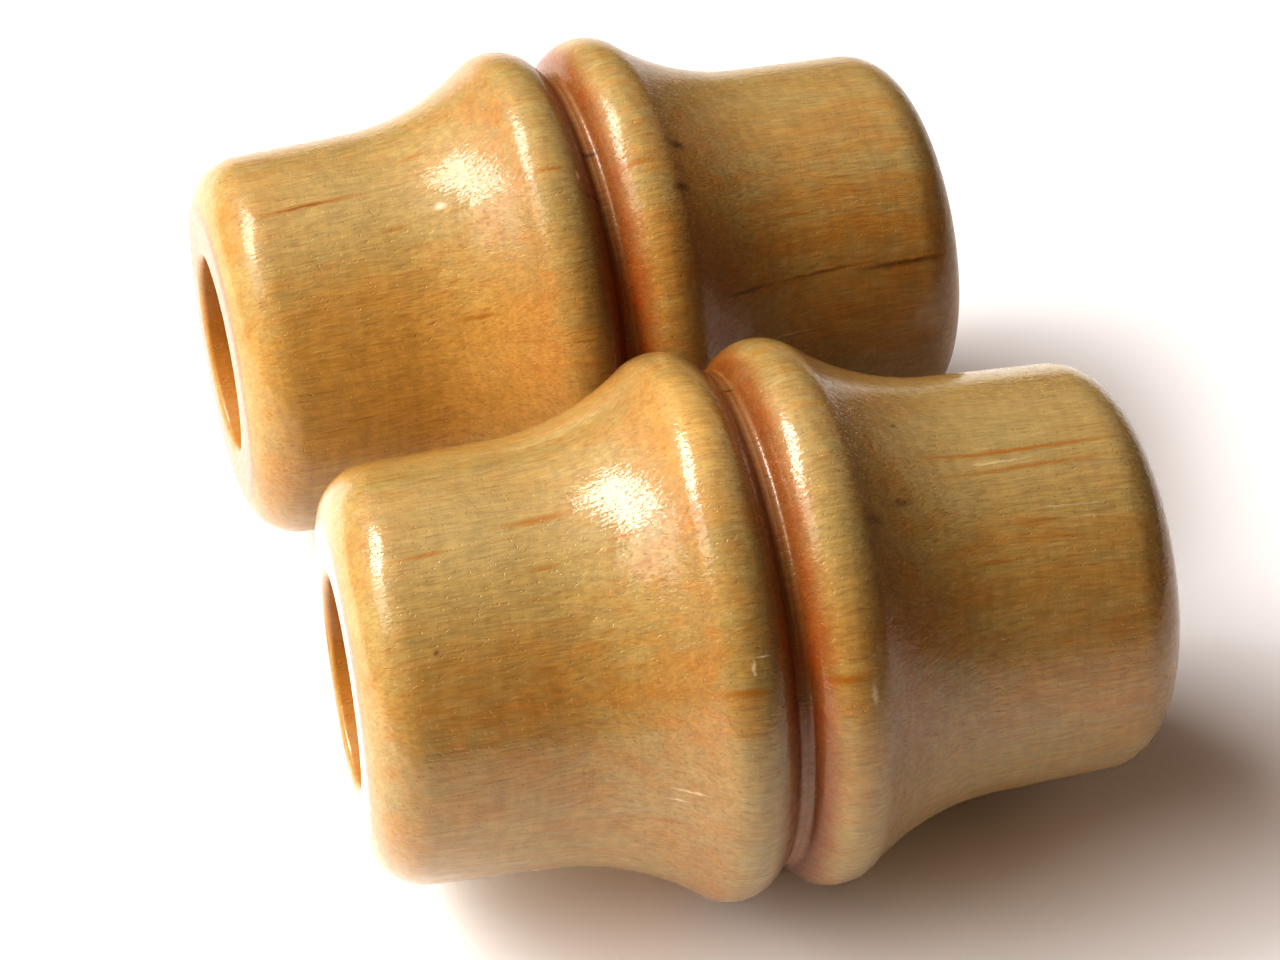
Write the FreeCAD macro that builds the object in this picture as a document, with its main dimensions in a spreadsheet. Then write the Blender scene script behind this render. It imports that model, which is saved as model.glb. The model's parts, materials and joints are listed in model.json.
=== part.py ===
"""A pair of short drilled claves, turned from pale hardwood and lying side by side.

Each clave is one piece of wood: two waisted barrels that meet at a double ring, with a
small bead in the groove between the rings and a bore from end to end. Both rest on
their rings at z = 0. +X runs along the pair, halfway between the directions of the two
bores, +Y from the front clave to the rear one, and +Z up. The origin is on the resting
surface, midway between the two claves.
"""
import FreeCAD, Part
import math
import os

import Sketcher

PARTS_FOLDER = "parts"

# Driving dimensions: millimetres, and degrees where the name ends in _angle
SIZES = {
    "clave_length": 50.0,
    "ring_diameter": 34.4,      # over the crowns of the two rings
    "ring_spacing": 6.4,        # between the crown centres of the two rings
    "crown_radius": 3.1,        # round section of each ring
    "cove_radius": 15.75,       # hollow sweep from a ring down to the barrel
    "end_diameter": 25.8,       # barrel where it meets the end face, before rounding
    "barrel_angle": 2.05,       # taper of the barrel towards its end
    "corner_radius": 3.5,       # rounding of each end's outer edge
    "bore_diameter": 13.2,
    "bore_easing": 0.4,         # rounding of the bore's two mouths
    "bead_radius": 0.35,        # half-round bead on the groove's floor
    "bead_depth": 1.7,          # from the ring crowns down to the top of the bead
    "lie_angle": 3.7,           # between the directions of the two bores
    "contact_angle": 18.3,      # bearing of the nearest crowns, from +Y towards -X
    "contact_gap": 0.2,         # air between the nearest crowns
}

# Distances that place the pair, as expressions on the sheet: across a clave between the
# centres of its crown sections, and between the crown centres of the nearest rings
CROWN_PITCH = "(sizes.ring_diameter - 2 * sizes.crown_radius)"
CROWN_REACH = "(2 * sizes.crown_radius + sizes.contact_gap)"
PAIR_X = f"(-{CROWN_REACH} * sin(sizes.contact_angle * 1deg))"
PAIR_Y = (
    f"({CROWN_REACH} * cos(sizes.contact_angle * 1deg)"
    f" + sizes.ring_spacing * sin(sizes.lie_angle * 0.5deg)"
    f" + {CROWN_PITCH} * cos(sizes.lie_angle * 0.5deg))"
)

# Each clave's label, and which side of the origin it lies on
CLAVES = {"front_clave": -1, "rear_clave": 1}


def make_sheet(doc):
    """The spreadsheet that drives every size."""
    sheet = doc.addObject("Spreadsheet::Sheet", "sizes")
    for row, (name, value) in enumerate(SIZES.items(), start=1):
        sheet.set(f"A{row}", name)
        sheet.set(f"B{row}", str(value))
        sheet.setAlias(f"B{row}", name)
    doc.recompute()
    return sheet


def origin_plane(body, role):
    """One of the body's own origin planes."""
    return next(feature for feature in body.Origin.OriginFeatures if feature.Role == role)


def new_sketch(body, name, role):
    """An empty sketch on one of the body's origin planes."""
    sketch = body.newObject("Sketcher::SketchObject", name)
    sketch.AttachmentSupport = [(origin_plane(body, role), "")]
    sketch.MapMode = "FlatFace"
    return sketch


def arc(centre, radius, start, end):
    """Arc about a centre, anticlockwise from one point to another."""
    angles = [math.atan2(point.y - centre.y, point.x - centre.x) for point in (start, end)]
    return Part.ArcOfCircle(Part.Circle(centre, FreeCAD.Vector(0, 0, 1), radius), *angles)


def half_outline(sheet):
    """Where the outline of one half runs: x from the groove, y from the bore's centre line."""
    ring_radius = sheet.ring_diameter / 2
    slope = math.radians(sheet.barrel_angle)
    crown_centre = FreeCAD.Vector(sheet.ring_spacing / 2, ring_radius - sheet.crown_radius, 0)
    end = FreeCAD.Vector(sheet.clave_length / 2, sheet.end_diameter / 2, 0)
    # the cove touches the barrel's line from above and the crown from outside
    normal = FreeCAD.Vector(math.sin(slope), math.cos(slope), 0)
    inward = FreeCAD.Vector(-math.cos(slope), math.sin(slope), 0)
    span = crown_centre - end - normal * sheet.cove_radius
    reach = math.sqrt((sheet.crown_radius + sheet.cove_radius) ** 2 - span.dot(normal) ** 2)
    cove_centre = end + normal * sheet.cove_radius + inward * (span.dot(inward) - reach)
    crown_to_cove = (cove_centre - crown_centre).normalize()
    # the crown meets the bead where their two circles cross
    bead_centre = FreeCAD.Vector(0, ring_radius - sheet.bead_depth - sheet.bead_radius, 0)
    bead_to_crown = crown_centre - bead_centre
    distance = bead_to_crown.Length
    chord = (distance ** 2 + sheet.bead_radius ** 2 - sheet.crown_radius ** 2) / (2 * distance)
    rise = math.sqrt(sheet.bead_radius ** 2 - chord ** 2)
    bead_to_crown.normalize()
    across = FreeCAD.Vector(-bead_to_crown.y, bead_to_crown.x, 0)
    return {
        "foot": FreeCAD.Vector(end.x, 0, 0),
        "end": end,
        "barrel_start": cove_centre - normal * sheet.cove_radius,
        "cove_centre": cove_centre,
        "cove_start": crown_centre + crown_to_cove * sheet.crown_radius,
        "crown_centre": crown_centre,
        "bead_edge": bead_centre + bead_to_crown * chord + across * rise,
        "bead_centre": bead_centre,
        "bead_top": bead_centre + FreeCAD.Vector(0, sheet.bead_radius, 0),
    }


def add_outline(body, sheet):
    """The closed outline of one half's section, on the body's XY plane."""
    sketch = new_sketch(body, "outline", "XY_Plane")
    at = half_outline(sheet)
    start, end, centre = 1, 2, 3
    origin, vertical = -1, -2
    elements = [
        Part.LineSegment(FreeCAD.Vector(0, 0, 0), at["foot"]),
        Part.LineSegment(at["foot"], at["end"]),
        Part.LineSegment(at["barrel_start"], at["end"]),
        arc(at["cove_centre"], sheet.cove_radius, at["cove_start"], at["barrel_start"]),
        arc(at["crown_centre"], sheet.crown_radius, at["cove_start"], at["bead_edge"]),
        arc(at["bead_centre"], sheet.bead_radius, at["bead_edge"], at["bead_top"]),
        Part.LineSegment(at["bead_top"], FreeCAD.Vector(0, 0, 0)),
    ]
    axis, face, barrel, cove, crown, bead, groove = sketch.addGeometry(elements)
    shape_rules = [
        ("Coincident", axis, start, origin, 1),
        ("Horizontal", axis),
        ("Coincident", axis, end, face, start),
        ("Vertical", face),
        ("Coincident", face, end, barrel, end),
        ("Tangent", barrel, start, cove, end),
        ("Tangent", cove, start, crown, start),
        ("Coincident", crown, end, bead, start),
        ("Coincident", bead, end, groove, start),
        ("PointOnObject", bead, centre, vertical),
        ("Coincident", groove, end, origin, 1),
        ("Vertical", groove),
    ]
    for rule in shape_rules:
        sketch.addConstraint(Sketcher.Constraint(*rule))
    crown_height = "sizes.ring_diameter / 2 - sizes.crown_radius"
    bead_height = "sizes.ring_diameter / 2 - sizes.bead_depth - sizes.bead_radius"
    dimensions = [
        (("DistanceX", axis, start, axis, end, at["foot"].x), "sizes.clave_length / 2"),
        (("DistanceY", face, start, face, end, at["end"].y), "sizes.end_diameter / 2"),
        (("Angle", barrel, -math.radians(sheet.barrel_angle)), "-sizes.barrel_angle * 1deg"),
        (("Radius", cove, sheet.cove_radius), "sizes.cove_radius"),
        (("Radius", crown, sheet.crown_radius), "sizes.crown_radius"),
        (("DistanceX", origin, 1, crown, centre, at["crown_centre"].x), "sizes.ring_spacing / 2"),
        (("DistanceY", origin, 1, crown, centre, at["crown_centre"].y), crown_height),
        (("Radius", bead, sheet.bead_radius), "sizes.bead_radius"),
        (("DistanceY", origin, 1, bead, centre, at["bead_centre"].y), bead_height),
    ]
    for constraint, expression in dimensions:
        index = sketch.addConstraint(Sketcher.Constraint(*constraint))
        sketch.setExpression(f"Constraints[{index}]", expression)
    return sketch


def mouth_edges(feature, radius):
    """Names of the feature's circular edges of one radius, such as "Edge3"."""
    names = []
    for number, edge in enumerate(feature.Shape.Edges, start=1):
        if isinstance(edge.Curve, Part.Circle) and abs(edge.Curve.Radius - radius) < 1e-6:
            names.append(f"Edge{number}")
    return names


def add_fillet(body, name, base, edge_radius, size):
    """Round the base's circular edges of one radius, by a size from the sheet."""
    fillet = body.newObject("PartDesign::Fillet", name)
    fillet.Base = (base, mouth_edges(base, edge_radius))
    fillet.setExpression("Radius", f"sizes.{size}")
    return fillet


def add_bore(body, base, sheet):
    """The hole from end to end, cut both ways from the groove."""
    sketch = new_sketch(body, "bore_circle", "YZ_Plane")
    circle = sketch.addGeometry(Part.Circle(FreeCAD.Vector(0, 0, 0), FreeCAD.Vector(0, 0, 1), 1.0))
    sketch.addConstraint(Sketcher.Constraint("Coincident", circle, 3, -1, 1))
    index = sketch.addConstraint(Sketcher.Constraint("Diameter", circle, sheet.bore_diameter))
    sketch.setExpression(f"Constraints[{index}]", "sizes.bore_diameter")
    bore = body.newObject("PartDesign::Pocket", "bore")
    bore.Profile = sketch
    bore.Type = "ThroughAll"
    bore.Midplane = True
    body.Document.recompute()
    hole = math.pi * (sheet.bore_diameter / 2) ** 2 * sheet.clave_length
    if abs(base.Shape.Volume - bore.Shape.Volume - hole) > 1e-3 * hole:
        raise RuntimeError(f"{body.Label}: the bore doesn't run from end to end")
    return bore


def make_clave(doc, sheet, label):
    """One clave, lying along X with the middle of its bore at its own origin."""
    body = doc.addObject("PartDesign::Body", label)
    body.Label = label
    half = body.newObject("PartDesign::Revolution", "half")
    half.Profile = add_outline(body, sheet)
    half.ReferenceAxis = (half.Profile[0], ["H_Axis"])
    half.Angle = 360
    doc.recompute()
    whole = body.newObject("PartDesign::Mirrored", "whole")
    whole.Originals = [half]
    whole.MirrorPlane = (origin_plane(body, "YZ_Plane"), [""])
    body.Tip = whole
    doc.recompute()
    corners = add_fillet(body, "corners", whole, sheet.end_diameter / 2, "corner_radius")
    doc.recompute()
    bore = add_bore(body, corners, sheet)
    add_fillet(body, "bore_mouths", bore, sheet.bore_diameter / 2, "bore_easing")
    doc.recompute()
    return body


def place_clave(body, side):
    """Lay a clave on its rings, half the pair's offset and angle to one side of the origin."""
    body.Placement = FreeCAD.Placement(FreeCAD.Vector(), FreeCAD.Rotation(FreeCAD.Vector(0, 0, 1), side))
    body.setExpression("Placement.Rotation.Angle", f"{side} * sizes.lie_angle * 0.5deg")
    body.setExpression("Placement.Base.x", f"{side} * {PAIR_X} / 2")
    body.setExpression("Placement.Base.y", f"{side} * {PAIR_Y} / 2")
    body.setExpression("Placement.Base.z", "sizes.ring_diameter / 2")


def check_document(doc, bodies):
    """Stop if anything failed to build."""
    for item in doc.Objects:
        if "Invalid" in item.State or "Error" in item.State:
            raise RuntimeError(f"{item.Label} failed: {item.State}")
    for body in bodies:
        if body.Shape.isNull() or not body.Shape.isValid():
            raise RuntimeError(f"{body.Label} has no valid shape")


def main():
    doc = FreeCAD.newDocument("claves")
    sheet = make_sheet(doc)
    bodies = []
    for label, side in CLAVES.items():
        body = make_clave(doc, sheet, label)
        place_clave(body, side)
        bodies.append(body)
    doc.recompute()
    check_document(doc, bodies)
    os.makedirs(PARTS_FOLDER, exist_ok=True)
    for body in bodies:
        body.Shape.exportStep(os.path.join(PARTS_FOLDER, f"{body.Label}.step"))


main()
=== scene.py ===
"""A pair of short drilled claves in pale varnished hardwood, lying side by side."""
import json
import math

import bmesh
import bpy
from mathutils import Matrix, Vector, noise


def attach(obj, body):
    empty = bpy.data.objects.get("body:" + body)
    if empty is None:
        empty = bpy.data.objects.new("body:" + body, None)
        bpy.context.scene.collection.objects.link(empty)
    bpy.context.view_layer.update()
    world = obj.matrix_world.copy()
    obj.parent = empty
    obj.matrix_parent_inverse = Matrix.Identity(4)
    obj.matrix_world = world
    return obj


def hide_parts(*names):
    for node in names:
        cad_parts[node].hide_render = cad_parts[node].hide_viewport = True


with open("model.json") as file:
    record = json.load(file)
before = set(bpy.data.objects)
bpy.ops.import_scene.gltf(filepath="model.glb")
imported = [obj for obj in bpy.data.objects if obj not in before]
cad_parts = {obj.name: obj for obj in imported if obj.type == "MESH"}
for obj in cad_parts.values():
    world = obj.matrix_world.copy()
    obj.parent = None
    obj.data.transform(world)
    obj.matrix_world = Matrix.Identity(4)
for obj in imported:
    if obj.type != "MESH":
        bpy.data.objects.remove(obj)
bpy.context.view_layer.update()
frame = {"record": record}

MM = 0.001

# The turned shape, in metres, as the CAD solids have it
CLAVE_LENGTH = 50.0 * MM
RING_RADIUS = 17.2 * MM
RING_SPACING = 6.4 * MM
CROWN_RADIUS = 3.1 * MM
COVE_RADIUS = 15.75 * MM
END_RADIUS = 12.9 * MM
BORE_RADIUS = 6.6 * MM
BARREL_SLOPE = math.radians(2.05)
CORNER_RADIUS = 3.5 * MM
BORE_EASING = 0.4 * MM
BEAD_RADIUS = 0.35 * MM
BEAD_DEPTH = 1.7 * MM
POOL_RADIUS = 0.45 * MM      # the varnish in the corners beside the bead

# The skin of the wood
SKIN = 0.02 * MM             # how far it stays inside the CAD surface
UNEVENNESS = 0.05 * MM       # how far hand sanding dips below that
SANDING_ALONG = 90           # dips per metre along the bore
SANDING_ROUND = 1.6          # dips per radian round it
VARNISH_RELIEF = 0.022 * MM

# How finely the skin is divided
SEGMENTS = 320               # round the clave
BEAD_STEPS = 7
POOL_STEPS = 6
CROWN_STEPS = 34
HOLLOW_STEPS = 24
BARREL_STEPS = 10
CORNER_STEPS = 16
FACE_STEPS = 5
EASING_STEPS = 5
BORE_STEPS = 12


# ---------------------------------------------------------------- turned wood

def arc_points(centre, radius, start, end, count):
    """Points on an arc of the section, from one angle to another."""
    points = []
    for step in range(count + 1):
        angle = start + (end - start) * step / count
        points.append(centre + Vector((math.cos(angle), math.sin(angle))) * radius)
    return points


def line_points(start, end, count):
    """Points on a straight run of the section, without its first one."""
    return [start.lerp(end, step / count) for step in range(1, count + 1)]


def between(first, first_reach, second, second_reach):
    """The point at these distances from two others, on the outer side of them."""
    link = second - first
    along = (link.length ** 2 + first_reach ** 2 - second_reach ** 2) / (2 * link.length)
    side = math.sqrt(first_reach ** 2 - along ** 2)
    direction = link.normalized()
    return first + direction * along + Vector((-direction.y, direction.x)) * side


def bearing(start, end):
    """The angle of the line from one point of the section to another."""
    return math.atan2(end.y - start.y, end.x - start.x)


def groove_section(crown_centre):
    """The bead in the groove, and the varnish that rounds the corner beside it."""
    bead_centre = Vector((0, RING_RADIUS - BEAD_DEPTH - BEAD_RADIUS))
    bead_reach = BEAD_RADIUS + POOL_RADIUS
    crown_reach = CROWN_RADIUS + POOL_RADIUS
    pool_centre = between(bead_centre, bead_reach, crown_centre, crown_reach)
    bead_end = bearing(bead_centre, pool_centre)
    pool_end = bearing(pool_centre, crown_centre)
    points = arc_points(bead_centre, BEAD_RADIUS, math.pi / 2, bead_end, BEAD_STEPS)
    points += arc_points(pool_centre, POOL_RADIUS, bead_end - math.pi, pool_end, POOL_STEPS)[1:]
    return points, bearing(crown_centre, pool_centre)


def barrel_section(cove_centre, normal):
    """The hollow's low end, the barrel's straight run and the round of its corner."""
    quarter = math.pi / 2
    corner_x = CLAVE_LENGTH / 2 - CORNER_RADIUS
    rise = CORNER_RADIUS * math.tan(BARREL_SLOPE) - CORNER_RADIUS / math.cos(BARREL_SLOPE)
    corner_centre = Vector((corner_x, END_RADIUS + rise))
    barrel_start = cove_centre - normal * COVE_RADIUS
    barrel_end = corner_centre + normal * CORNER_RADIUS
    points = line_points(barrel_start, barrel_end, BARREL_STEPS)
    points += arc_points(corner_centre, CORNER_RADIUS, quarter - BARREL_SLOPE, 0, CORNER_STEPS)[1:]
    return points


def bore_section(start):
    """The end face, the eased mouth and half of the bore's wall."""
    mouth_centre = Vector((CLAVE_LENGTH / 2 - BORE_EASING, BORE_RADIUS + BORE_EASING))
    points = line_points(start, mouth_centre + Vector((BORE_EASING, 0)), FACE_STEPS)
    points += arc_points(mouth_centre, BORE_EASING, 0, -math.pi / 2, EASING_STEPS)[1:]
    points += line_points(points[-1], Vector((0, BORE_RADIUS)), BORE_STEPS)
    return points


def half_section():
    """The section of one half, from the bead's top out to the end and into the bore."""
    crown_centre = Vector((RING_SPACING / 2, RING_RADIUS - CROWN_RADIUS))
    end = Vector((CLAVE_LENGTH / 2, END_RADIUS))
    normal = Vector((math.sin(BARREL_SLOPE), math.cos(BARREL_SLOPE)))
    inward = Vector((-normal.y, normal.x))
    # the hollow touches the barrel's line and the crown
    span = crown_centre - end - normal * COVE_RADIUS
    reach = math.sqrt((CROWN_RADIUS + COVE_RADIUS) ** 2 - span.dot(normal) ** 2)
    cove_centre = end + normal * COVE_RADIUS + inward * (span.dot(inward) - reach)
    crown_end = bearing(crown_centre, cove_centre)
    hollow_start = crown_end - math.pi
    hollow_end = -math.pi / 2 - BARREL_SLOPE
    points, crown_start = groove_section(crown_centre)
    points += arc_points(crown_centre, CROWN_RADIUS, crown_start, crown_end, CROWN_STEPS)[1:]
    points += arc_points(cove_centre, COVE_RADIUS, hollow_start, hollow_end, HOLLOW_STEPS)[1:]
    points += barrel_section(cove_centre, normal)
    points += bore_section(points[-1])
    return points


def full_section():
    """The closed section of the clave: its right half, then its left half mirrored."""
    right = half_section()
    left = [Vector((-point.x, point.y)) for point in reversed(right[1:-1])]
    return right + left


def sanded(point, angle, seed):
    """A point of the skin, a little below the CAD surface where the sanding dipped."""
    across = math.cos(angle) * SANDING_ROUND
    up = math.sin(angle) * SANDING_ROUND
    place = Vector((point.x * SANDING_ALONG, across, up)) + seed
    dip = UNEVENNESS * (0.5 + 0.5 * noise.noise(place))
    inset = SKIN + min(dip, UNEVENNESS)
    if point.y < BORE_RADIUS + BORE_EASING:
        inset = -inset
    radius = point.y - inset
    along = point.x * (1 - SKIN / CLAVE_LENGTH * 2)
    return Vector((along, radius * math.cos(angle), radius * math.sin(angle)))


def turned_mesh(name, seed):
    """The clave's skin as a closed mesh of quads, with its bore along X."""
    section = full_section()
    mesh = bmesh.new()
    rings = []
    for step in range(SEGMENTS):
        angle = 2 * math.pi * step / SEGMENTS
        rings.append([mesh.verts.new(sanded(point, angle, seed)) for point in section])
    count = len(section)
    for step in range(SEGMENTS):
        here, there = rings[step], rings[(step + 1) % SEGMENTS]
        for index in range(count):
            after = (index + 1) % count
            face = mesh.faces.new((here[index], here[after], there[after], there[index]))
            face.smooth = True
    bmesh.ops.recalc_face_normals(mesh, faces=mesh.faces)
    data = bpy.data.meshes.new(name)
    mesh.to_mesh(data)
    mesh.free()
    return data


def bore_mount(name):
    """A bore's centre and its direction, as the record states them."""
    mount = next(item for item in frame["record"]["mounts"] if item["name"] == name)
    return Vector(mount["pos_m"]), Vector(mount["axis"])


def make_clave(side, seed, marks, coat):
    """A clave in place of its CAD node, lying along its own bore."""
    centre, direction = bore_mount(f"{side}_bore")
    data = turned_mesh(f"{side}_turned_wood", seed)
    turn = math.atan2(direction.y, direction.x)
    data.transform(Matrix.Translation(centre) @ Matrix.Rotation(turn, 4, "Z"))
    data.materials.append(wood_material(f"{side}_varnished_wood", marks, coat, centre, turn))
    piece = bpy.data.objects.new(f"{side}_turned_wood", data)
    bpy.context.scene.collection.objects.link(piece)
    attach(piece, side)
    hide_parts(f"{side}_clave")


# ---------------------------------------------------------------- varnished wood

def linear(red, green, blue):
    """A display colour, 0 to 255, as the renderer's linear colour."""
    channels = [(value / 255 + 0.055) / 1.055 for value in (red, green, blue)]
    return tuple(value ** 2.4 for value in channels) + (1.0,)


# Pale wood tone, also the colour of the painted sheen patches
PALE_WOOD_AND_SHEEN = linear(155, 132, 81)
WARM_WOOD = linear(161, 116, 52)
# Painted warm light for the amber patches
PAINTED_AMBER_LIGHT = linear(184, 144, 76)
PORE_BROWN = linear(124, 74, 28)
STREAK_BROWN = linear(148, 97, 18)
DARK_BROWN = linear(74, 36, 12)
SCUFF_WHITE = linear(236, 220, 196)
# Painted shade in the groove, partly pooled varnish
GROOVE_SHADE_AND_VARNISH = linear(218, 160, 100)
BORE_AMBER = linear(170, 106, 28)
# The flanks' deeper end grain, partly painted shade
END_GRAIN_AND_SHADE = linear(228, 176, 128)
# Painted shade for the end faces
END_FACE_SHADE = linear(222, 204, 196)

# Paler patches (partly the wood's own tone, partly painted sheen on the upper sides), amber patches of
# painted warm light, then streaks,
# dark marks and scuffs. Each is given by: mm along from the groove, degrees up from the front, mm long,
# mm wide, strength
# Partly the wood's paler tone, partly painted sheen on the upper sides
FRONT_PALES_AND_SHEEN = (
    (-17.0, 76.0, 17.0, 14.0, 1.0), (16.0, 84.0, 18.0, 14.0, 1.0), (3.5, 60.0, 5.0, 13.0, 0.8),
    (17.0, 40.0, 14.0, 12.0, 0.4), (-12.0, -10.0, 14.0, 6.0, 0.4), (0.0, 200.0, 30.0, 14.0, 0.5),
)
# Painted warm light on the left ring's top
FRONT_AMBER_LIGHT = ((-4.0, 92.0, 5.0, 11.0, 0.7),)
FRONT_STREAKS = (
    (-13.2, 79.5, 5.0, 0.55, 1.0), (-20.2, 75.5, 3.4, 0.34, 0.8), (-15.5, 75.0, 3.0, 0.18, 0.5),
    (-14.2, 58.0, 4.6, 0.16, 0.5), (16.0, 79.0, 13.5, 0.36, 1.0), (16.4, 73.5, 10.5, 0.32, 0.8),
    (15.5, 56.5, 2.8, 0.7, 0.5), (-3.4, 31.5, 3.4, 0.6, 1.0), (2.7, 31.5, 2.6, 0.6, 1.0),
    (-8.3, -3.5, 2.6, 0.35, 0.6), (6.0, -9.0, 9.0, 0.25, 0.5), (-8.4, 69.0, 2.8, 0.16, 0.9),
    (15.0, 52.0, 6.0, 0.2, 0.4), (20.0, 84.5, 4.0, 0.2, 0.4),
)
FRONT_DARKS = (
    (5.3, 62.0, 1.8, 0.8, 0.45), (7.7, 67.0, 1.8, 0.6, 0.4), (9.3, 88.0, 0.4, 0.3, 0.7),
    (-20.4, 49.5, 0.35, 0.3, 0.8), (-0.3, 107.0, 0.6, 0.25, 0.9),
)
FRONT_SCUFFS = (
    (14.6, 76.0, 4.0, 0.14, 0.25), (17.6, 60.5, 5.0, 0.14, 0.2), (-2.3, 38.0, 1.0, 0.18, 0.6),
    (-2.9, 36.0, 0.25, 0.9, 0.6), (-7.2, 6.0, 2.2, 0.18, 0.4), (4.1, 27.5, 0.4, 1.5, 0.4),
    (-8.0, 3.0, 1.2, 0.14, 0.4), (19.0, 57.0, 3.0, 0.14, 0.15),
)
# Partly the wood's paler tone, partly painted sheen on the upper sides
REAR_PALES_AND_SHEEN = (
    (-16.0, 80.0, 16.0, 12.0, 0.9), (14.0, 92.0, 15.0, 9.0, 0.7), (-3.0, 65.0, 5.0, 12.0, 0.6),
    (-12.0, -20.0, 14.0, 6.0, 0.4), (8.0, 210.0, 26.0, 14.0, 0.5),
)
# Painted warm bounce light on the lower front of the left half, and painted light beside the right ring
REAR_AMBER_LIGHT = ((-13.0, 20.0, 24.0, 16.0, 0.85), (6.0, 62.0, 4.0, 12.0, 0.6))
REAR_STREAKS = (
    (-18.7, 80.0, 7.6, 0.46, 1.0), (-10.8, 90.5, 1.8, 0.35, 0.8), (-7.2, 77.0, 1.0, 0.35, 0.8),
    (-3.5, 67.5, 2.2, 0.36, 0.9), (-9.4, 36.5, 2.8, 0.35, 0.8), (2.5, 66.0, 2.2, 0.50, 0.9),
    (-6.0, 29.0, 6.0, 0.2, 0.4), (-12.0, 60.0, 5.0, 0.16, 0.4), (13.0, 62.0, 7.0, 0.18, 0.4),
)
REAR_DARKS = (
    (-19.0, 80.0, 3.6, 0.22, 0.5), (5.5, 71.0, 1.5, 0.7, 0.6), (5.0, 58.5, 1.4, 0.7, 0.7),
    (8.5, 32.0, 6.2, 0.30, 0.55), (14.0, 31.8, 7.2, 0.22, 0.5), (20.0, 30.0, 7.0, 0.38, 0.65),
    (-0.5, 74.0, 1.8, 0.3, 0.8), (-0.9, 61.5, 1.8, 0.3, 0.8), (23.3, 86.0, 0.4, 0.3, 0.8),
)
REAR_SCUFFS = (
    (-9.9, 69.0, 0.8, 0.5, 0.5), (-1.6, 66.0, 0.3, 0.7, 0.7), (12.0, 15.0, 4.0, 0.1, 0.3),
)
MARK_DEPTH = 1.2             # mm that the narrowest marks reach into the wood and out of it

# Features per metre across the grain and along it, and how many octaves
PATCHES = (95, 55, 3)
BANDS = (520, 20, 2)
MOTTLE = (1100, 600, 3)
FIBRES = (6200, 700, 3)
STRANDS = (2300, 260, 4)
RAYS = (520, 1900, 3)
PORES = (6400, 420, 1)
THREADS = (1700, 60, 2)
GLOSS = (3000, 400, 2)
PEEL = (2600, 1900, 2)
PITS = (6000, 3600, 1)
RAISED_GRAIN = (4200, 300, 2)
NOISE_LOW = 0.3
NOISE_HIGH = 0.7

# The wood under the varnish, from its smoothest to its roughest, and the varnish
SMOOTHEST = 0.42
ROUGHEST = 0.6
COAT_ROUGHNESS = 0.05
COAT_IOR = 1.5


class Graph:
    """Adds shader nodes to a material and joins them."""

    def __init__(self, material):
        self.nodes = material.node_tree.nodes
        self.links = material.node_tree.links

    def feed(self, socket, value):
        """Link a socket to another, or set its value."""
        if isinstance(value, bpy.types.NodeSocket):
            self.links.new(value, socket)
        else:
            socket.default_value = value

    def add(self, kind, *values, **settings):
        """A new node, its inputs fed in order."""
        node = self.nodes.new(kind)
        for key, value in settings.items():
            setattr(node, key, value)
        for socket, value in zip(node.inputs, values):
            if value is not None:
                self.feed(socket, value)
        return node

    def math(self, operation, *values):
        """A sum, product or other operation on numbers."""
        return self.add("ShaderNodeMath", *values, operation=operation).outputs[0]

    def ramp(self, value, low, high, to_low=0.0, to_high=1.0):
        """A smooth step between two values."""
        node = self.add("ShaderNodeMapRange", value, low, high, to_low, to_high)
        node.interpolation_type = "SMOOTHSTEP"
        return node.outputs[0]

    def scaled(self, vector, across, along):
        """Coordinates with so many features per metre across and along the grain."""
        return self.add("ShaderNodeMapping", vector, None, None, (along, across, across)).outputs[0]

    def noise(self, vector, across, along, detail=2.0):
        """Noise, mostly from NOISE_LOW to NOISE_HIGH, drawn out along the grain or across it."""
        place = self.scaled(vector, across, along)
        node = self.add("ShaderNodeTexNoise", place)
        node.inputs["Scale"].default_value = 1.0
        node.inputs["Detail"].default_value = detail
        return node.outputs[0]

    def swing(self, vector, kind, low, high):
        """Noise of one of the kinds above, spread between two values."""
        return self.ramp(self.noise(vector, *kind), NOISE_LOW, NOISE_HIGH, low, high)

    def mix(self, factor, first, second, blend_type="MIX"):
        """One colour over another."""
        node = self.nodes.new("ShaderNodeMix")
        node.data_type = "RGBA"
        node.blend_type = blend_type
        self.feed(node.inputs[0], factor)
        self.feed(node.inputs[6], first)
        self.feed(node.inputs[7], second)
        return node.outputs[2]


def wander(graph, place, across, along, reach):
    """Coordinates pushed about a little by noise, so that nothing runs dead straight."""
    noise = graph.add("ShaderNodeTexNoise", graph.scaled(place, across, along))
    noise.inputs["Scale"].default_value = 1.0
    noise.inputs["Detail"].default_value = 0.0
    push = noise.outputs[1]
    centred = graph.add("ShaderNodeVectorMath", push, (0.5, 0.5, 0.5), operation="SUBTRACT").outputs[0]
    move = graph.add("ShaderNodeVectorMath", centred, (reach * 2,) * 3, operation="MULTIPLY").outputs[0]
    return graph.add("ShaderNodeVectorMath", place, move, operation="ADD").outputs[0]


def surface_radius(along):
    """The clave's radius this far from the groove."""
    outside = BORE_RADIUS * 1.5
    points = [point for point in half_section() if point.y > outside]
    return min(points, key=lambda point: abs(point.x - along)).y


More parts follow.
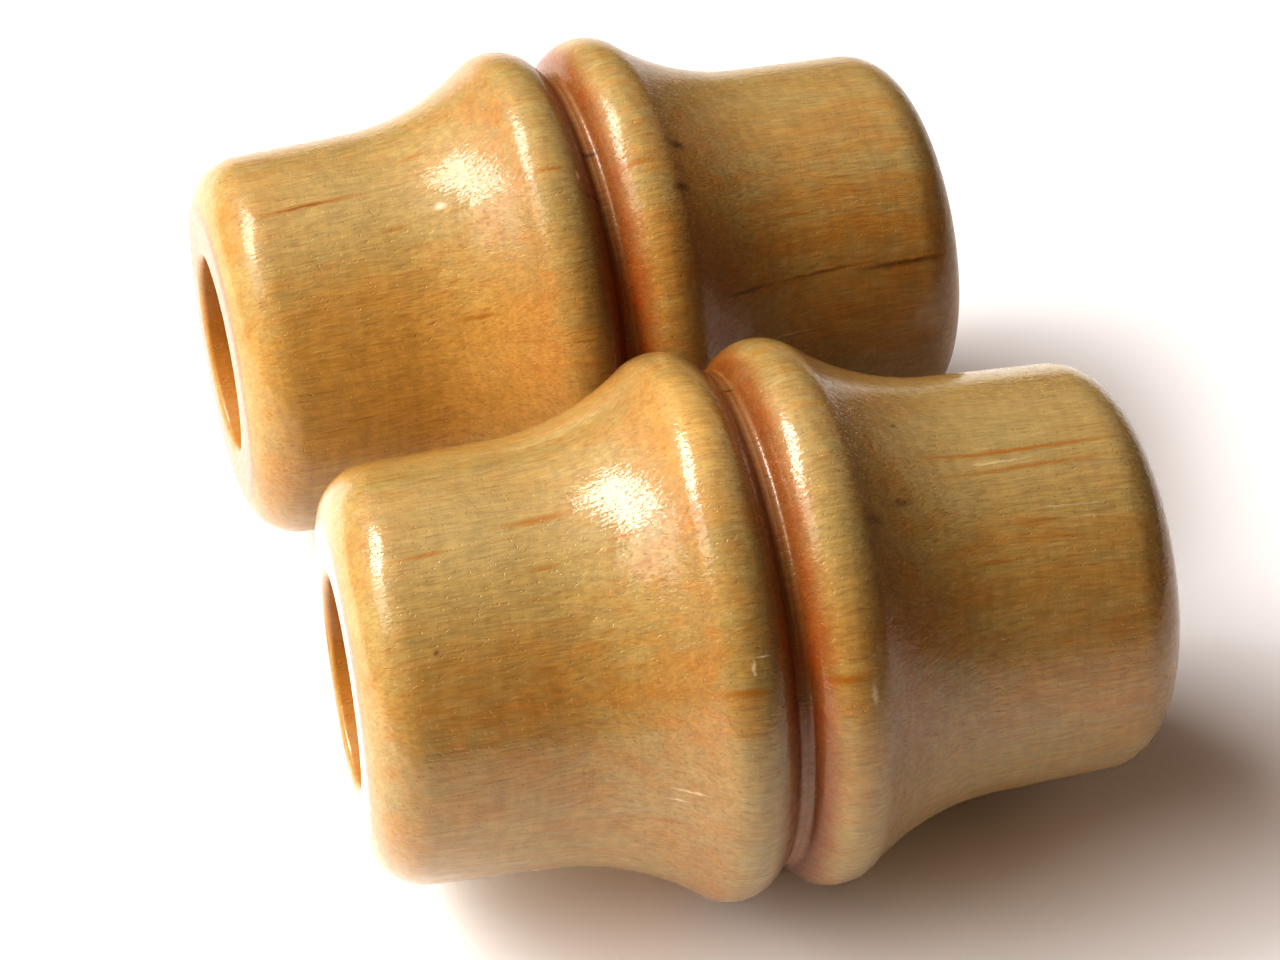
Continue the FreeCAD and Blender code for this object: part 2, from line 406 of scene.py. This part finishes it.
def marks_mask(graph, place, marks):
    """How strongly any of the marks covers a point, 0 to 1."""
    mask = None
    for along, rise, length, width, strength in marks:
        angle = math.radians(rise)
        radius = surface_radius(abs(along) * MM)
        centre = (along * MM, -radius * math.cos(angle), radius * math.sin(angle))
        half_size = (length / 2 * MM, max(MARK_DEPTH, width / 2) * MM, width / 2 * MM)
        node = graph.add("ShaderNodeMapping", place, centre, (-angle, 0, 0), half_size)
        node.vector_type = "TEXTURE"
        reach = graph.add("ShaderNodeVectorMath", node.outputs[0], operation="LENGTH").outputs["Value"]
        spot = graph.ramp(reach, 1.5, 0.1, 0.0, strength)
        mask = spot if mask is None else graph.math("MAXIMUM", mask, spot)
    return mask


def wood_colour(graph, place, marks):
    """Pale and warm wood with fibres, rays, pores, and the marks of this clave, some of them painted
    sheen and painted warm light.
    """
    pales_and_sheen, amber_light, streaks, darks, scuffs = marks
    patches = graph.ramp(graph.noise(place, *PATCHES), 0.36, 0.64)
    bands = graph.ramp(graph.noise(place, *BANDS), 0.35, 0.65)
    warmth = graph.math("ADD", graph.math("MULTIPLY", patches, 0.5), graph.math("MULTIPLY", bands, 0.4))
    mottle = graph.swing(place, MOTTLE, -0.22, 0.22)
    warmth = graph.math("ADD", warmth, mottle)
    # Pale patches: partly the wood's tone, partly painted sheen on the upper sides
    outside_pales_and_sheen = graph.math("SUBTRACT", 1.0, marks_mask(graph, place, pales_and_sheen))
    warmth = graph.math("MULTIPLY", warmth, outside_pales_and_sheen)
    colour = graph.mix(warmth, PALE_WOOD_AND_SHEEN, WARM_WOOD)
    # Amber patches: painted warm light
    colour = graph.mix(marks_mask(graph, place, amber_light), colour, PAINTED_AMBER_LIGHT)
    fibres = graph.swing(place, FIBRES, 0.88, 1.09)
    strands = graph.swing(place, STRANDS, 0.94, 1.05)
    rays = graph.swing(place, RAYS, 0.94, 1.06)
    shade = graph.math("MULTIPLY", graph.math("MULTIPLY", fibres, strands), rays)
    grey = graph.add("ShaderNodeCombineColor", shade, shade, shade).outputs[0]
    colour = graph.mix(1.0, colour, grey, "MULTIPLY")
    pores = graph.ramp(graph.noise(place, *PORES), 0.64, 0.74, 0.0, 0.35)
    colour = graph.mix(pores, colour, PORE_BROWN)
    threads = graph.ramp(graph.noise(place, *THREADS), 0.66, 0.76, 0.0, 0.5)
    colour = graph.mix(threads, colour, STREAK_BROWN)
    torn = wander(graph, place, 5200, 1500, 0.1 * MM)
    colour = graph.mix(marks_mask(graph, torn, streaks), colour, STREAK_BROWN)
    colour = graph.mix(marks_mask(graph, torn, darks), colour, DARK_BROWN)
    return graph.mix(marks_mask(graph, torn, scuffs), colour, SCUFF_WHITE)


def end_grain_and_shade_colour(graph, colour, place, normal, turn):
    """Deeper on the rings' flanks, which cut across the fibres, and partly painted shade there; painted
    shade on the end faces.
    """
    axis = (math.cos(turn), math.sin(turn), 0)
    across = graph.add("ShaderNodeVectorMath", normal, axis, operation="DOT_PRODUCT").outputs["Value"]
    cut = graph.math("ABSOLUTE", across)
    along = graph.math("ABSOLUTE", graph.add("ShaderNodeSeparateXYZ", place).outputs[0])
    on_rings = graph.ramp(along, 14.0 * MM, 8.0 * MM, 0.0, 0.45)
    # Ring flanks: the end grain's deeper colour, partly painted shade
    flank = graph.math("MULTIPLY", graph.ramp(cut, 0.25, 0.8), on_rings)
    colour = graph.mix(flank, colour, END_GRAIN_AND_SHADE, "MULTIPLY")
    # Painted shade on the end faces
    return graph.mix(graph.ramp(cut, 0.93, 0.99), colour, END_FACE_SHADE, "MULTIPLY")


def groove_shade_and_bore_colour(graph, colour, place):
    """Painted shade in the groove, partly the varnish pooled there, and the bore, where the varnish
    lies thick.
    """
    axes = graph.add("ShaderNodeSeparateXYZ", place).outputs
    along = graph.math("ABSOLUTE", axes[0])
    squares = graph.math("ADD", graph.math("POWER", axes[1], 2.0), graph.math("POWER", axes[2], 2.0))
    out = graph.math("SQRT", squares)
    # Painted shade in the groove, partly pooled varnish
    groove_shade = graph.ramp(along, 2.2 * MM, 0.7 * MM, 0.0, 0.8)
    colour = graph.mix(groove_shade, colour, GROOVE_SHADE_AND_VARNISH, "MULTIPLY")
    inside = graph.ramp(out, BORE_RADIUS + 0.25 * MM, BORE_RADIUS - 0.1 * MM, 0.0, 0.85)
    return graph.mix(inside, colour, BORE_AMBER)


def varnish_height(graph, place):
    """Brushed varnish over open grain: a fine peel, pits, and the raised fibres."""
    peel = graph.noise(place, *PEEL)
    pits = graph.ramp(graph.noise(place, *PITS), 0.62, 0.74, 0.0, -0.7)
    grain = graph.math("MULTIPLY", graph.noise(place, *RAISED_GRAIN), 0.8)
    return graph.math("ADD", graph.math("ADD", peel, pits), grain)


def wood_material(name, marks, coat, centre, turn):
    """Pale close-grained hardwood under clear gloss varnish."""
    material = bpy.data.materials.new(name)
    material.use_nodes = True
    graph = Graph(material)
    shader = graph.nodes["Principled BSDF"]
    coordinates = graph.add("ShaderNodeTexCoord").outputs
    along_bore = graph.add("ShaderNodeMapping", coordinates["Object"], tuple(centre), (0, 0, turn))
    along_bore.vector_type = "TEXTURE"
    exact = along_bore.outputs[0]
    place = wander(graph, exact, 160, 60, 0.8 * MM)
    colour = wood_colour(graph, place, marks)
    colour = end_grain_and_shade_colour(graph, colour, exact, coordinates["Normal"], turn)
    colour = groove_shade_and_bore_colour(graph, colour, exact)
    roughness = graph.swing(place, GLOSS, SMOOTHEST, ROUGHEST)
    bump = graph.add("ShaderNodeBump")
    bump.inputs["Strength"].default_value = 1.0
    bump.inputs["Distance"].default_value = VARNISH_RELIEF
    graph.feed(bump.inputs["Height"], varnish_height(graph, place))
    graph.feed(shader.inputs["Base Color"], colour)
    graph.feed(shader.inputs["Roughness"], roughness)
    graph.feed(shader.inputs["Coat Normal"], bump.outputs[0])
    graph.feed(shader.inputs["Normal"], bump.outputs[0])
    shader.inputs["Coat Weight"].default_value = coat
    shader.inputs["Coat Roughness"].default_value = COAT_ROUGHNESS
    shader.inputs["Coat IOR"].default_value = COAT_IOR
    return material


# ---------------------------------------------------------------- stage, light and camera

FLOOR_SIZE = 4.0
FLOOR_COLOUR = (0.94, 0.935, 0.945, 1)
ROOM_COLOUR = (1.0, 0.65, 0.45, 1)
ROOM_STRENGTH = 0.03
LAMP_DISTANCE = 0.6
PHOTO_AZIMUTH = math.radians(15.7)      # the camera looks this far round from +Y towards +X
PHOTO_ELEVATION = math.radians(41.8)
PHOTO_ROLL = math.radians(0.8)
PHOTO_DISTANCE = 0.2037
PHOTO_LENS = 87.9
PHOTO_AIM = Vector((-1.6, -3.2, 17.2)) * MM


def direction_to(azimuth, elevation):
    """Unit vector towards a bearing from +Y (positive towards +X) and a height."""
    turn = math.radians(azimuth)
    height = math.radians(elevation)
    level = math.cos(height)
    return Vector((math.sin(turn) * level, math.cos(turn) * level, math.sin(height)))


def add_floor():
    """A plain white sheet under the claves."""
    bpy.ops.mesh.primitive_plane_add(size=FLOOR_SIZE)
    floor = bpy.context.object
    floor.name = "floor"
    material = bpy.data.materials.new("white_paper")
    material.use_nodes = True
    shader = material.node_tree.nodes["Principled BSDF"]
    shader.inputs["Base Color"].default_value = FLOOR_COLOUR
    shader.inputs["Roughness"].default_value = 0.9
    shader.inputs["Specular IOR Level"].default_value = 0.1
    floor.data.materials.append(material)


def add_window(name, azimuth, elevation, width, height, power, colour):
    """A soft rectangular light that faces the claves."""
    light = bpy.data.lights.new(name, "AREA")
    light.shape = "RECTANGLE"
    light.size = width
    light.size_y = height
    light.energy = power
    light.color = colour
    lamp = bpy.data.objects.new(name, light)
    bpy.context.scene.collection.objects.link(lamp)
    towards = direction_to(azimuth, elevation)
    facing = towards.to_track_quat("Z", "Y").to_matrix().to_4x4()
    lamp.matrix_world = Matrix.Translation(towards * LAMP_DISTANCE) @ facing
    return lamp


def add_fill(name, *settings):
    """A light too diffuse to show as a reflection."""
    add_window(name, *settings).visible_glossy = False


def add_sheen(name, *settings):
    """A dim wall that shows only as a reflection."""
    add_window(name, *settings).visible_diffuse = False


def add_world():
    """A dim, even room."""
    world = bpy.data.worlds.new("room")
    world.use_nodes = True
    background = world.node_tree.nodes["Background"]
    background.inputs["Color"].default_value = ROOM_COLOUR
    background.inputs["Strength"].default_value = ROOM_STRENGTH
    bpy.context.scene.world = world


def add_camera():
    """The photographer's view."""
    data = bpy.data.cameras.new("camera")
    data.sensor_width = 36.0
    data.lens = PHOTO_LENS
    data.clip_start = 0.01
    camera = bpy.data.objects.new("camera", data)
    bpy.context.scene.collection.objects.link(camera)
    turn = Matrix.Rotation(-PHOTO_AZIMUTH, 4, "Z")
    tilt = Matrix.Rotation(math.pi / 2 - PHOTO_ELEVATION, 4, "X")
    roll = Matrix.Rotation(PHOTO_ROLL, 4, "Z")
    facing = turn @ tilt @ roll
    camera.matrix_world = Matrix.Translation(PHOTO_AIM + facing.col[2].xyz * PHOTO_DISTANCE) @ facing
    bpy.context.scene.camera = camera


FRONT_MARKS = (FRONT_PALES_AND_SHEEN, FRONT_AMBER_LIGHT, FRONT_STREAKS, FRONT_DARKS, FRONT_SCUFFS)
REAR_MARKS = (REAR_PALES_AND_SHEEN, REAR_AMBER_LIGHT, REAR_STREAKS, REAR_DARKS, REAR_SCUFFS)
make_clave("front", Vector((3.1, 0.7, 5.2)), FRONT_MARKS, coat=0.8)
make_clave("rear", Vector((9.4, 6.3, 1.8)), REAR_MARKS, coat=0.5)

add_floor()
# Each light: azimuth and elevation in degrees, width and height in metres, watts, colour
add_window("window", -49, 52, 0.30, 0.18, 1.9, (1.0, 0.99, 0.97))
add_window("far_window", -88, 50, 0.30, 0.22, 0.6, (1.0, 0.96, 0.93))
add_fill("window_glow", -55, 50, 0.50, 0.40, 1.2, (0.99, 0.99, 0.99))
add_fill("side_glow", -94, 34, 0.46, 0.46, 3.0, (0.99, 0.98, 0.97))
add_fill("low_glow", -108, 10, 0.24, 0.12, 1.0, (1.0, 0.70, 0.44))
add_fill("right_glow", 82, 34, 0.60, 0.50, 0.33, (1.0, 0.74, 0.58))
add_sheen("far_wall", 15, 55, 1.2, 0.8, 1.0, (1.0, 0.98, 0.96))
add_window("ceiling", -60, 82, 1.2, 1.2, 0.55, (1.0, 0.70, 0.52))
add_world()
add_camera()
bpy.context.scene.view_settings.view_transform = "Standard"
bpy.context.scene.view_settings.look = "High Contrast"
